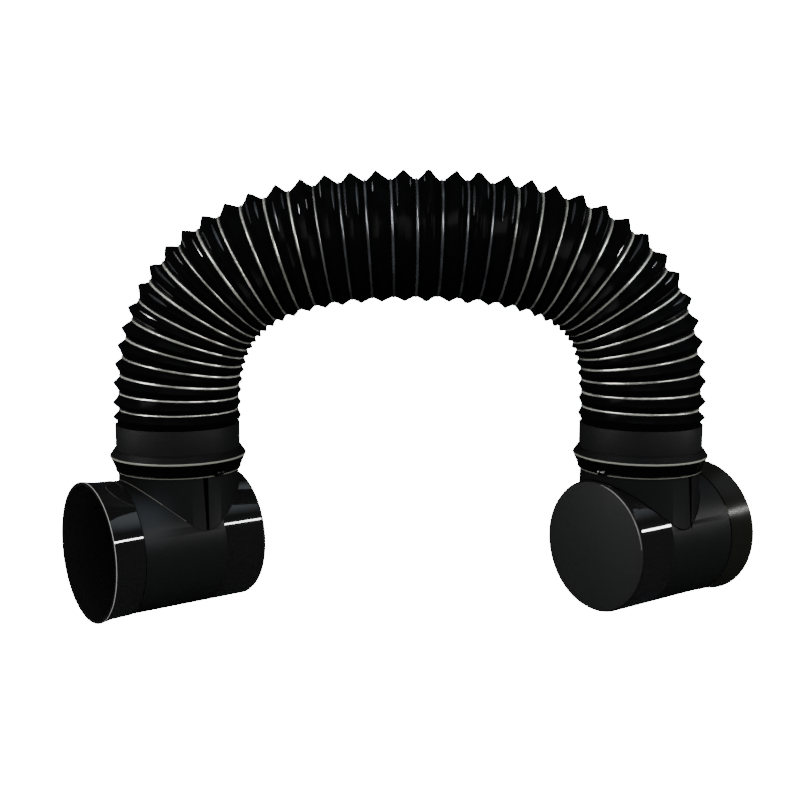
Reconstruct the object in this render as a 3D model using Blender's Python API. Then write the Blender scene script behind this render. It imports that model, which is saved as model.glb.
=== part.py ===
"""A pleated duct hose bent into an arch, with a sleeve cuff on each end, each
cuff held by a V-section clamp ring on the branch of a tee fitting. The two tees
are the same moulding turned half round from each other: one end of the run is a
flared socket, and the other is closed by a flat cap.

Metres, +Z up. The arch stands in the XZ plane and the tees rest on z = 0. Each
tee is drawn with its run along its own X axis, socket at +X, branch along +Z.
"""
import math

import bmesh
import bpy
import numpy as np
from mathutils import Matrix, Vector

# Running clearance between pieces that seat on each other.
GAP = 0.0003

# Arch: the route of the hose's centre line between the tops of the two cuffs.
LEG_SPACING = 0.3945
LEG_STRAIGHT = 0.0180
ARCH_RISE = 0.1574
LEG_HANDLE = 0.094
CROWN_HANDLE = 0.147
ARCH_LEAN = 0.0046

# Hose: thin film in pleats, sharp at the crests, with a plain tail in each cuff.
# The crests stand a little proud of the cuffs, and more so towards the crown. The
# pleats stand wider apart over the crown than in the legs, and sit a little
# towards the left.
CREST_PROUD = 0.0013
CROWN_SWELL = 0.0013
PLEAT_COUNT = 39
PLEAT_DEPTH = 0.0057
PLEAT_STRETCH = 1.1
PLEAT_SPREAD = 0.036
PLEAT_SHIFT = 0.0135
PLEAT_BUNCH = 0.0064
VALLEY_WIDTH = 0.30
FILM_WALL = 0.0010
TAIL_LENGTH = 0.0220
HOSE_SIDES = 24

# Cuff: a plain sleeve round the hose's tail.
CUFF_BORE_RADIUS = 0.0495
CUFF_WALL = 0.0025
CUFF_LENGTH = 0.0305
CUFF_EDGE = 0.0006

# Clamp ring: a V outside, and inside a step that carries the cuff.
RING_CREST_PROUD = 0.0050
RING_CREST_BAND = 0.0008
RING_TOP_WALL = 0.0012
RING_LIP_WALL = 0.0016
RING_LIP_HEIGHT = 0.0016
RING_TOP_RISE = 0.0056
RING_LOW_DROP = 0.0125
RING_CREST_DROP = 0.0040
NOTCH_WIDTH = 0.0080
NOTCH_HEIGHT = 0.0058
NOTCH_ANGLE = math.radians(43.5)

# Bolt across the notch in the ring's lower edge.
BOLT_HEAD_RADIUS = 0.0024
BOLT_SHANK_RADIUS = 0.0015
BOLT_HEAD_LENGTH = 0.0022
BOLT_OUTSET = 0.0032

# Tee: run, branch, socket and closed end.
TEE_YAW = math.radians(35.0)
BRANCH_SETBACK = 0.0017
RUN_STEP = 0.0057
TEE_WALL = 0.0028
BRANCH_RISE = 0.0143
CLOSED_MARGIN = 0.0004
CLOSED_END_ROUND = 0.0008
OPEN_MARGIN = 0.0072
SOCKET_LENGTH = 0.0258
SOCKET_START_STEP = 0.0005
SOCKET_MID_FLARE = 0.0010
SOCKET_MOUTH_FLARE = 0.0027
SEAM_WIDTH = 0.0010
SEAM_DEPTH = 0.0007
SOCKET_BORE_STEP = 0.0008

# End cap: a flat disc with a hollow plug behind it.
CAP_SETBACK = 0.0014
CAP_THICKNESS = 0.0018
CAP_EDGE = 0.0005
PLUG_LENGTH = 0.0100
PLUG_WALL = 0.0022

TURNED_SIDES = 48

# What follows from the sizes above.
CUFF_RADIUS = CUFF_BORE_RADIUS + CUFF_WALL
TAIL_RADIUS = CUFF_BORE_RADIUS - GAP
HOSE_RADIUS = CUFF_RADIUS + CREST_PROUD
RING_CREST_RADIUS = CUFF_RADIUS + RING_CREST_PROUD
BRANCH_RADIUS = CUFF_RADIUS - BRANCH_SETBACK
RUN_RADIUS = BRANCH_RADIUS + RUN_STEP
BRANCH_HEIGHT = RUN_RADIUS + BRANCH_RISE
RUN_CLOSED_LENGTH = BRANCH_RADIUS + CLOSED_MARGIN
RUN_OPEN_LENGTH = BRANCH_RADIUS + OPEN_MARGIN
CAP_RADIUS = RUN_RADIUS - CAP_SETBACK
MOUTH_RADIUS = RUN_RADIUS + SOCKET_MOUTH_FLARE
RUN_AXIS_Z = MOUTH_RADIUS
BRANCH_TOP_Z = RUN_AXIS_Z + BRANCH_HEIGHT
CUFF_BOTTOM_Z = BRANCH_TOP_Z + GAP
CUFF_TOP_Z = CUFF_BOTTOM_Z + CUFF_LENGTH
RING_CREST_Z = CUFF_BOTTOM_Z + RING_CREST_DROP


def clear_scene():
    for item in list(bpy.data.objects):
        bpy.data.objects.remove(item, do_unlink=True)


def make_material(name, colour, roughness, metallic=0.0):
    material = bpy.data.materials.new(name)
    material.use_nodes = True
    shader = material.node_tree.nodes["Principled BSDF"]
    shader.inputs["Base Color"].default_value = (*colour, 1.0)
    shader.inputs["Roughness"].default_value = roughness
    shader.inputs["Metallic"].default_value = metallic
    return material


def link_mesh(name, bm, material, smooth_angle=math.radians(30)):
    bmesh.ops.recalc_face_normals(bm, faces=bm.faces)
    mesh = bpy.data.meshes.new(name)
    bm.to_mesh(mesh)
    bm.free()
    mesh.shade_smooth()
    mesh.set_sharp_from_angle(angle=smooth_angle)
    item = bpy.data.objects.new(name, mesh)
    bpy.context.collection.objects.link(item)
    if material:
        mesh.materials.append(material)
    return item


def turned(name, profile, material=None, axis="Z", sides=TURNED_SIDES):
    """A solid of revolution from (radius, height) points in order round the section."""
    bm = bmesh.new()
    on_axis = [radius == 0.0 for radius, height in profile]
    rings = []
    for (radius, height), pole in zip(profile, on_axis):
        if pole:
            rings.append([bm.verts.new((0.0, 0.0, height))])
            continue
        ring = []
        for k in range(sides):
            turn = math.tau * k / sides
            ring.append(bm.verts.new((radius * math.cos(turn), radius * math.sin(turn), height)))
        rings.append(ring)
    closed = not (on_axis[0] and on_axis[-1])
    pairs = list(zip(rings, rings[1:]))
    if closed:
        pairs.append((rings[-1], rings[0]))
    for first, second in pairs:
        for k in range(sides):
            j = (k + 1) % sides
            if len(first) == 1:
                bm.faces.new((first[0], second[k], second[j]))
            elif len(second) == 1:
                bm.faces.new((first[k], first[j], second[0]))
            else:
                bm.faces.new((first[k], first[j], second[j], second[k]))
    if axis == "X":
        bm.transform(Matrix.Rotation(math.radians(90), 4, "Y"))
    return link_mesh(name, bm, material)


def cut(target, tool, operation="DIFFERENCE"):
    """Boolean the tool, a hidden guide, into the target."""
    tool.hide_render = True
    tool.display_type = "WIRE"
    step = target.modifiers.new(tool.name, "BOOLEAN")
    step.operation = operation
    step.solver = "EXACT"
    step.object = tool


def arch_route(samples=1200):
    """Points along the centre line, from the left cuff's top to the right's."""
    half = LEG_SPACING / 2
    shoulder = ARCH_RISE - LEG_STRAIGHT
    corners = np.array([
        (-half, LEG_STRAIGHT),
        (-half, LEG_STRAIGHT + LEG_HANDLE),
        (-CROWN_HANDLE, LEG_STRAIGHT + shoulder),
        (0.0, LEG_STRAIGHT + shoulder),
    ])
    t = np.linspace(0.0, 1.0, samples)[:, None]
    weights = np.hstack([(1 - t) ** 3, 3 * (1 - t) ** 2 * t, 3 * (1 - t) * t ** 2, t ** 3])
    left = weights @ corners
    right = left[::-1][1:] * (-1.0, 1.0)
    foot = np.array([(-half, 0.0)])
    route = np.vstack([foot, left, right, foot * (-1.0, 1.0)])
    route[:, 0] += ARCH_LEAN * (route[:, 1] / ARCH_RISE) ** 1.5
    return route


def route_frames(stations, route):
    """Centre, outward normal and curvature of the route at each distance along it."""
    steps = np.hypot(*np.diff(route, axis=0).T)
    along = np.concatenate([[0.0], np.cumsum(steps)])
    span = 0.004
    frames = []
    for s in stations:
        centre = np.array([np.interp(s, along, route[:, i]) for i in (0, 1)])
        ahead = np.array([np.interp(s + span, along, route[:, i]) for i in (0, 1)])
        behind = np.array([np.interp(s - span, along, route[:, i]) for i in (0, 1)])
        into, out = centre - behind, ahead - centre
        tangent = into + out
        if np.hypot(*into) < span / 2 or np.hypot(*out) < span / 2:
            tangent, bend = np.array([0.0, 1.0 if s < span else -1.0]), 0.0
        else:
            bend = (math.atan2(into[1], into[0]) - math.atan2(out[1], out[0])) / span
        tangent = tangent / np.hypot(*tangent)
        frames.append((centre, np.array([-tangent[1], tangent[0]]), bend))
    return frames


def build_hose(material):
    """Pleated tube: the pleats open on the outside of the bend and close inside it."""
    route = arch_route()
    length = np.hypot(*np.diff(route, axis=0).T).sum()

    def station(pleat):
        share = pleat / PLEAT_COUNT
        spread = PLEAT_SPREAD * math.sin(math.tau * share)
        shift = PLEAT_SHIFT * math.sin(math.pi * share)
        bunch = PLEAT_BUNCH * math.sin(2 * math.tau * share)
        return length * (share - spread - shift + bunch)

    stations, kinds = [], []
    for i in range(PLEAT_COUNT):
        if i > 0:
            stations += [station(i - VALLEY_WIDTH / 2), station(i + VALLEY_WIDTH / 2)]
            kinds += ["valley", "valley"]
        stations.append(station(i + 0.5))
        kinds.append("crest")
    bm = bmesh.new()
    rings = []

    def add_ring(centre, normal, radii):
        ring = []
        for k in range(HOSE_SIDES):
            turn = math.tau * k / HOSE_SIDES
            out = radii[k] * math.cos(turn)
            side = radii[k] * math.sin(turn)
            x = centre[0] + out * normal[0]
            z = CUFF_TOP_Z + centre[1] + out * normal[1]
            ring.append(bm.verts.new((x, side, z)))
        rings.append(ring)

    half = LEG_SPACING / 2
    plain = [TAIL_RADIUS] * HOSE_SIDES
    for height in (-TAIL_LENGTH, GAP):
        add_ring((-half, height), (-1.0, 0.0), plain)
    for (centre, normal, bend), kind in zip(route_frames(stations, route), kinds):
        crest = HOSE_RADIUS + CROWN_SWELL * (centre[1] / ARCH_RISE) ** 2
        radii = []
        for k in range(HOSE_SIDES):
            stretch = 1 + bend * HOSE_RADIUS * math.cos(math.tau * k / HOSE_SIDES)
            depth = PLEAT_DEPTH * max(stretch, 0.2) ** PLEAT_STRETCH if kind == "valley" else 0.0
            radii.append(crest - depth)
        add_ring(centre, normal, radii)
    for height in (GAP, -TAIL_LENGTH):
        add_ring((half, height), (1.0, 0.0), plain)
    for first, second in zip(rings, rings[1:]):
        for k in range(HOSE_SIDES):
            j = (k + 1) % HOSE_SIDES
            bm.faces.new((first[k], first[j], second[j], second[k]))
    hose = link_mesh("hose", bm, material)
    wall = hose.modifiers.new("film", "SOLIDIFY")
    wall.thickness = FILM_WALL
    wall.offset = -1.0
    wall.use_rim = True
    return hose


def build_cuff(side, x, material):
    inner, outer = CUFF_BORE_RADIUS, CUFF_RADIUS
    cuff = turned(f"cuff_{side}", [
        (inner, 0.0),
        (outer, 0.0),
        (outer, CUFF_LENGTH - CUFF_EDGE),
        (outer - CUFF_EDGE, CUFF_LENGTH),
        (inner, CUFF_LENGTH),
    ], material)
    cuff.location = (x, 0.0, CUFF_BOTTOM_Z)
    return cuff


def build_ring(side, x, turn, material, bolt_material):
    """V-section ring with a notch in its lower edge, and the bolt across the notch."""
    top_bore = CUFF_RADIUS + GAP
    low_bore = BRANCH_RADIUS + GAP
    lip = low_bore + RING_LIP_WALL
    band = RING_CREST_BAND / 2
    ring = turned(f"clamp_ring_{side}", [
        (top_bore, RING_TOP_RISE),
        (top_bore, -RING_CREST_DROP - GAP),
        (low_bore, -RING_CREST_DROP - GAP),
        (low_bore, -RING_LOW_DROP),
        (lip, -RING_LOW_DROP),
        (lip + 0.25 * RING_LIP_WALL, -RING_LOW_DROP + RING_LIP_HEIGHT / 2),
        (lip, -RING_LOW_DROP + RING_LIP_HEIGHT),
        (RING_CREST_RADIUS, -band),
        (RING_CREST_RADIUS, band),
        (top_bore + RING_TOP_WALL, RING_TOP_RISE),
    ], material)
    ring.location = (x, 0.0, RING_CREST_Z)
    outward = Vector((math.cos(turn), math.sin(turn), 0.0))
    notch_bm = bmesh.new()
    bmesh.ops.create_cube(notch_bm, size=1.0)
    reach = 2 * (RING_CREST_RADIUS - low_bore)
    bmesh.ops.scale(notch_bm, vec=(reach, NOTCH_WIDTH, 2 * NOTCH_HEIGHT), verts=notch_bm.verts)
    notch = link_mesh(f"notch_{side}", notch_bm, None)
    middle = (low_bore + RING_CREST_RADIUS) / 2
    notch.location = Vector((x, 0.0, RING_CREST_Z - RING_LOW_DROP)) + outward * middle
    notch.rotation_euler = (0.0, 0.0, turn)
    cut(ring, notch)

    shank = NOTCH_WIDTH / 2 - GAP - BOLT_HEAD_LENGTH
    end = NOTCH_WIDTH / 2 - GAP
    bolt = turned(f"clamp_bolt_{side}", [
        (0.0, -end),
        (BOLT_HEAD_RADIUS, -end),
        (BOLT_HEAD_RADIUS, -shank),
        (BOLT_SHANK_RADIUS, -shank),
        (BOLT_SHANK_RADIUS, shank),
        (BOLT_HEAD_RADIUS, shank),
        (BOLT_HEAD_RADIUS, end),
        (0.0, end),
    ], bolt_material, sides=16)
    height = RING_CREST_Z - RING_LOW_DROP + BOLT_HEAD_RADIUS + GAP
    bolt.location = Vector((x, 0.0, height)) + outward * (low_bore + BOLT_OUTSET)
    bolt.rotation_euler = (math.radians(90), 0.0, turn)
    return ring


def build_tee(side, x, yaw, material, cap_material):
    """Equal tee: outside shapes joined, then both bores taken out of them."""
    frame = bpy.data.objects.new(f"tee_frame_{side}", None)
    bpy.context.collection.objects.link(frame)
    frame.location = (x, 0.0, RUN_AXIS_Z)
    frame.rotation_euler = (0.0, 0.0, yaw)

    start = RUN_OPEN_LENGTH
    mouth = RUN_OPEN_LENGTH + SOCKET_LENGTH
    bend = start + 0.6 * SOCKET_LENGTH
    tee = turned(f"tee_{side}", [
        (0.0, -RUN_CLOSED_LENGTH),
        (RUN_RADIUS - CLOSED_END_ROUND, -RUN_CLOSED_LENGTH),
        (RUN_RADIUS, -RUN_CLOSED_LENGTH + CLOSED_END_ROUND),
        (RUN_RADIUS, start - SEAM_WIDTH),
        (RUN_RADIUS - SEAM_DEPTH, start - SEAM_WIDTH),
        (RUN_RADIUS - SEAM_DEPTH, start),
        (RUN_RADIUS + SOCKET_START_STEP, start),
        (RUN_RADIUS + SOCKET_MID_FLARE, bend),
        (MOUTH_RADIUS, mouth),
        (0.0, mouth),
    ], material, axis="X")
    branch = turned(f"branch_{side}", [
        (0.0, 0.0),
        (BRANCH_RADIUS, 0.0),
        (BRANCH_RADIUS, BRANCH_HEIGHT),
        (0.0, BRANCH_HEIGHT),
    ])
    bore = RUN_RADIUS - TEE_WALL
    socket_bore = bore + SOCKET_BORE_STEP
    flare = (SOCKET_MOUTH_FLARE - SOCKET_MID_FLARE) / (mouth - bend)
    run_bore = turned(f"run_bore_{side}", [
        (0.0, -RUN_CLOSED_LENGTH - TEE_WALL),
        (bore, -RUN_CLOSED_LENGTH - TEE_WALL),
        (bore, start),
        (socket_bore, start),
        (RUN_RADIUS + SOCKET_MID_FLARE - TEE_WALL, bend),
        (MOUTH_RADIUS - TEE_WALL + flare * TEE_WALL, mouth + TEE_WALL),
        (0.0, mouth + TEE_WALL),
    ], axis="X")
    branch_bore = turned(f"branch_bore_{side}", [
        (0.0, 0.0),
        (BRANCH_RADIUS - TEE_WALL, 0.0),
        (BRANCH_RADIUS - TEE_WALL, BRANCH_HEIGHT + TEE_WALL),
        (0.0, BRANCH_HEIGHT + TEE_WALL),
    ])
    cut(tee, branch, "UNION")
    cut(tee, run_bore)
    cut(tee, branch_bore)

    plug = bore - GAP
    face = -RUN_CLOSED_LENGTH - GAP - CAP_THICKNESS
    back = -RUN_CLOSED_LENGTH - GAP
    cap = turned(f"end_cap_{side}", [
        (0.0, face),
        (CAP_RADIUS - CAP_EDGE, face),
        (CAP_RADIUS, face + CAP_EDGE),
        (CAP_RADIUS, back),
        (plug, back),
        (plug, back + PLUG_LENGTH),
        (plug - PLUG_WALL, back + PLUG_LENGTH),
        (plug - PLUG_WALL, back),
        (0.0, back),
    ], cap_material, axis="X")
    for item in (tee, branch, run_bore, branch_bore, cap):
        item.parent = frame
    return tee


clear_scene()
film = make_material("film", (0.010, 0.010, 0.011), 0.18)
sleeve = make_material("sleeve", (0.028, 0.028, 0.030), 0.55)
band = make_material("band", (0.010, 0.010, 0.010), 0.22)
moulding = make_material("moulding", (0.012, 0.012, 0.013), 0.28)
disc = make_material("disc", (0.030, 0.030, 0.031), 0.50)
plated = make_material("plated", (0.62, 0.62, 0.60), 0.30, 1.0)

build_hose(film)
build_cuff("left", -LEG_SPACING / 2, sleeve)
build_cuff("right", LEG_SPACING / 2, sleeve)
build_ring("left", -LEG_SPACING / 2, -NOTCH_ANGLE, band, plated)
build_ring("right", LEG_SPACING / 2, NOTCH_ANGLE - math.pi, band, plated)
build_tee("left", -LEG_SPACING / 2, math.pi + TEE_YAW, moulding, disc)
build_tee("right", LEG_SPACING / 2, TEE_YAW, moulding, disc)
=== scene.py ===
# %% [markdown]
# # A pleated duct arch on two tees
# A pleated hose of glossy black film is bent into an arch. Each end sits in a plain
# sleeve cuff, and a V-section clamp ring holds the cuff on the branch of a tee.
# The frame is the measured solid model. Everything made here stays on it.

# %% Load the frame
import math
import random

import bpy
import numpy as np
from mathutils import Matrix, Vector


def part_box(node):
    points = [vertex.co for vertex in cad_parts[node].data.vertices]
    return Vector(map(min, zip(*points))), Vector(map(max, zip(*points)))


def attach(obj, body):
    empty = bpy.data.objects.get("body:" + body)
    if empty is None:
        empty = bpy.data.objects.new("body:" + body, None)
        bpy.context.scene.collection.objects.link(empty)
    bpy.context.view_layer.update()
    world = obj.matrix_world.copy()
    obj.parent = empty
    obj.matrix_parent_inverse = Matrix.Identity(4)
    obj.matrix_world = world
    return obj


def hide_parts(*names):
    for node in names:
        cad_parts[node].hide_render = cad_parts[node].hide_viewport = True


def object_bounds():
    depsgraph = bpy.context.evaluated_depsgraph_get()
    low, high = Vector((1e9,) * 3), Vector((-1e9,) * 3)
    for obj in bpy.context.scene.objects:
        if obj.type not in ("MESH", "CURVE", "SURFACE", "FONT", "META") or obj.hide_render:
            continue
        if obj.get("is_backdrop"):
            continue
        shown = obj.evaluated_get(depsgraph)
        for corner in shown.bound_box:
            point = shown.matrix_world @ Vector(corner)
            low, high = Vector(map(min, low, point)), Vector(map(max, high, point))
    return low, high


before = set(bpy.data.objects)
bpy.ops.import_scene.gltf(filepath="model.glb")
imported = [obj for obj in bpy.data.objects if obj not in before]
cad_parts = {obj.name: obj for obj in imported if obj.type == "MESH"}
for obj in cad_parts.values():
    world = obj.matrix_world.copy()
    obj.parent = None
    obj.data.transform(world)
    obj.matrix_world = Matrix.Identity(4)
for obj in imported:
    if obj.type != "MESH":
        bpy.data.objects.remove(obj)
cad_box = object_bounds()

print("nodes:", sorted(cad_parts))

# %% [markdown]
# ## Sizes
# One set of sizes serves the whole lesson, so pieces that touch always agree. They
# are the same sizes as the frame has, in metres. The tees stand on z = 0.

# %% Sizes of the frame
GAP = 0.0003
LEG_SPACING = 0.3945
CUFF_BORE_RADIUS = 0.0495
CUFF_RADIUS = 0.0520
CUFF_LENGTH = 0.0305
BRANCH_RADIUS = 0.0503
RUN_RADIUS = 0.0560
TEE_WALL = 0.0028
MOUTH_RADIUS = 0.0587
BRANCH_HEIGHT = 0.0703
RUN_CLOSED_LENGTH = 0.0507
RUN_OPEN_LENGTH = 0.0575
SOCKET_LENGTH = 0.0258
TEE_YAW = math.radians(35.0)
CUFF_BOTTOM_Z = MOUTH_RADIUS + BRANCH_HEIGHT + GAP
CUFF_TOP_Z = CUFF_BOTTOM_Z + CUFF_LENGTH
RING_CREST_RISE = 0.0040
RING_CREST_Z = CUFF_BOTTOM_Z + RING_CREST_RISE
ROUND = 128
FINE_ROUND = 160
low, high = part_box("cuff_left")
print("cuff top here", round(CUFF_TOP_Z, 4), "and in the frame", round(high.z, 4))

# %% [markdown]
# ## Camera
# The photograph looks at the arch nearly square on and a little from above. A camera
# could be placed by eye, but here the distance, pitch and aim were worked out from
# the widths of the cuffs and mouths, so the outline falls where it should.

# %% Camera
IMAGE_SIZE = 800
METRES_PER_PIXEL = 0.00085
CAMERA_DISTANCE = 1200 * METRES_PER_PIXEL
AIM_RIGHT, AIM_UP = -10.2 * METRES_PER_PIXEL, 22.3 * METRES_PER_PIXEL
CAMERA_PITCH = math.radians(8.3)
CAMERA_TURN = math.radians(-1.15)
CAMERA_ROLL = math.radians(0.2)
aim = Vector((AIM_RIGHT, 0.0, CUFF_TOP_Z + AIM_UP))
view = Vector((
    -math.sin(CAMERA_TURN) * math.cos(CAMERA_PITCH),
    math.cos(CAMERA_TURN) * math.cos(CAMERA_PITCH),
    -math.sin(CAMERA_PITCH),
))
camera_data = bpy.data.cameras.new("camera")
camera_data.sensor_width = 36.0
camera_data.lens = 36.0 * CAMERA_DISTANCE / (IMAGE_SIZE * METRES_PER_PIXEL)
camera = bpy.data.objects.new("camera", camera_data)
bpy.context.scene.collection.objects.link(camera)
camera.location = aim - view * CAMERA_DISTANCE
level = view.to_track_quat("-Z", "Y").to_matrix()
camera.rotation_euler = (Matrix.Rotation(CAMERA_ROLL, 3, -view) @ level).to_euler()
bpy.context.scene.camera = camera
print("camera at", [round(v, 3) for v in camera.location])
print("lens", round(camera_data.lens, 1), "mm")

# %% [markdown]
# ## Small helpers
# Blender's operators act on whatever is selected, so each step first drops every
# selection and then takes one piece. Turned pieces are drawn as a half section, one
# extruded point after another, and spun once round their axis.

# %% Take one piece in hand
def take(piece, mode="OBJECT"):
    """Makes the piece the only selected one and enters the mode."""
    if bpy.context.object and bpy.context.object.mode != "OBJECT":
        bpy.ops.object.mode_set(mode="OBJECT")
    bpy.ops.object.select_all(action="DESELECT")
    piece.select_set(True)
    bpy.context.view_layer.objects.active = piece
    bpy.ops.object.mode_set(mode=mode)


def apply_modifiers(piece):
    take(piece)
    for modifier in list(piece.modifiers):
        bpy.ops.object.modifier_apply(modifier=modifier.name)


def settle(piece):
    """Moves the object's place into its mesh."""
    take(piece)
    bpy.ops.object.transform_apply(location=True, rotation=True, scale=True)


def report(piece):
    mesh = piece.data
    tris = sum(len(p.vertices) - 2 for p in mesh.polygons)
    print(piece.name, len(mesh.vertices), "points", tris, "triangles")


# %% Draw a half section and spin it
def spun(name, section, axis="Z", steps=ROUND, closed=False):
    """A turned piece from (radius, height) points; a closed section returns to its start."""
    def place(radius, height):
        return Vector((0.0, radius, height)) if axis == "Z" else Vector((height, radius, 0.0))

    points = [place(*p) for p in section]
    if closed:
        points.append(points[0])
    bpy.ops.object.select_all(action="DESELECT")
    bpy.ops.mesh.primitive_plane_add(size=0.001, location=points[0])
    piece = bpy.context.object
    piece.name = piece.data.name = name
    take(piece, "EDIT")
    bpy.ops.mesh.select_all(action="SELECT")
    bpy.ops.mesh.merge(type="CENTER")
    for before, after in zip(points, points[1:]):
        bpy.ops.mesh.extrude_region_move(TRANSFORM_OT_translate={"value": after - before})
    bpy.ops.mesh.select_all(action="SELECT")
    around = (0.0, 0.0, 1.0) if axis == "Z" else (1.0, 0.0, 0.0)
    bpy.ops.mesh.spin(steps=steps, angle=math.tau, center=(0.0, 0.0, 0.0), axis=around)
    bpy.ops.mesh.select_all(action="SELECT")
    bpy.ops.mesh.remove_doubles(threshold=0.00002)
    bpy.ops.mesh.normals_make_consistent(inside=False)
    settle(piece)
    return piece


def soften_edges(piece, width, angle=math.radians(30), segments=2):
    """Rounds the edges that are sharper than the angle."""
    bevel = piece.modifiers.new("soft edges", "BEVEL")
    bevel.width = width
    bevel.segments = segments
    bevel.limit_method = "ANGLE"
    bevel.angle_limit = angle
    bevel.harden_normals = False
    apply_modifiers(piece)


def smooth(piece, angle=math.radians(35)):
    take(piece)
    bpy.ops.object.shade_smooth_by_angle(angle=angle)


def stand_in(piece, node):
    """The piece rides on the one body, and is shown instead of the frame's node."""
    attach(piece, "root")
    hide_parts(node)
    report(piece)

# %% [markdown]
# ## Hose
# On the real thing this is a thin film pressed into pleats: sharp at each crest, with
# a tight round over a wire at each valley. It could be one pleat, repeated by an array
# and bent along a curve, but here the pleats stand wider apart over the crown, and they
# open on the outside of the bend and close on the inside. So the tube is grown ring by
# ring: each ring is extruded from the last, then sized, turned and put in its place.
# First comes the centre line, which is two straight legs joined by one smooth arch.

# %% Centre line of the arch
LEG_STRAIGHT = 0.0180
ARCH_RISE = 0.1574
LEG_HANDLE = 0.094
CROWN_HANDLE = 0.147
ARCH_LEAN = 0.0046


def arch_route(samples=1200):
    """Points (x, height over the cuffs) from the left cuff's top to the right's."""
    half = LEG_SPACING / 2
    corners = np.array([
        (-half, LEG_STRAIGHT),
        (-half, LEG_STRAIGHT + LEG_HANDLE),
        (-CROWN_HANDLE, ARCH_RISE),
        (0.0, ARCH_RISE),
    ])
    t = np.linspace(0.0, 1.0, samples)[:, None]
    weights = np.hstack([(1 - t) ** 3, 3 * (1 - t) ** 2 * t, 3 * (1 - t) * t ** 2, t ** 3])
    left = weights @ corners
    right = left[::-1][1:] * (-1.0, 1.0)
    foot = np.array([(-half, 0.0)])
    line = np.vstack([foot, left, right, foot * (-1.0, 1.0)])
    line[:, 0] += ARCH_LEAN * (line[:, 1] / ARCH_RISE) ** 1.5
    return line


route = arch_route()
route_steps = np.hypot(*np.diff(route, axis=0).T)
route_along = np.concatenate([[0.0], np.cumsum(route_steps)])
ROUTE_LENGTH = route_along[-1]


def route_point(s):
    return np.array([np.interp(s, route_along, route[:, i]) for i in (0, 1)])


def route_frame(s, span=0.004):
    """Centre and direction angle of the centre line at a distance along it."""
    centre, ahead, behind = route_point(s), route_point(s + span), route_point(s - span)
    into, out = centre - behind, ahead - centre
    if np.hypot(*into) < span / 2:
        return centre, math.pi / 2
    if np.hypot(*out) < span / 2:
        return centre, -math.pi / 2
    tangent = into + out
    return centre, math.atan2(tangent[1], tangent[0])


print("centre line", round(ROUTE_LENGTH, 3), "m")

# %% [markdown]
# Next, a plan of every ring. A pleat has a round of five rings at its valley, one ring
# on each flank and one at the crest, or three where the crest is rounded. Some flanks
# get three rings too, for a crease. One pleat could be repeated exactly, but small random
# shifts look more like a hose that was bent by hand.

# %% Sizes of the pleats
CREST_RADIUS = CUFF_RADIUS + 0.0013
CROWN_SWELL = 0.0013
PLEAT_COUNT = 39
PLEAT_SPREAD, PLEAT_SHIFT, PLEAT_BUNCH = 0.036, 0.0135, 0.0064
CREST_SHIFT = 0.07
DEPTH_SPREAD = (0.92, 1.08)
LEG_PLEAT_DEPTH = 0.0040
CROWN_PLEAT_DEPTH = 0.0066
PLEAT_LEAN = 0.36
RIB_RADIUS = 0.0008
RIB_SWELL = 0.35
RIB_SPREAD = (0.85, 1.2)
RIB_MARGIN = 1.5 * RIB_RADIUS
FLANK_SAG = (0.47, 0.56)
ROUND_CRESTS = {20, 22}
ROUND_HALF, ROUND_DROP = 0.0022, 0.0006
PLAIN_PLEATS = 6
CREASED = 0.75
SHARP_CREASED = 0.35
CREASE_SHARE = (0.35, 0.65)
CREASE_HALF = {"crease": 0.0005, "fold": 0.0009}
RIB_TURNS = [math.radians(a) for a in (-78, -39, 0, 39, 78)]
FILM_WALL = 0.0008
TAIL_LENGTH = 0.0220
TAIL_RADIUS = CUFF_BORE_RADIUS - GAP
HOSE_SIDES = 96
chance = random.Random(7)
print("film", FILM_WALL, "m thick,", PLEAT_COUNT, "pleats")


# %% Where each ring stands, and how deep it is
def pleat_station(pleat):
    """How far along the centre line a pleat starts."""
    share = pleat / PLEAT_COUNT
    spread = PLEAT_SPREAD * math.sin(math.tau * share)
    shift = PLEAT_SHIFT * math.sin(math.pi * share)
    bunch = PLEAT_BUNCH * math.sin(2 * math.tau * share)
    return ROUTE_LENGTH * (share - spread - shift + bunch)


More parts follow.
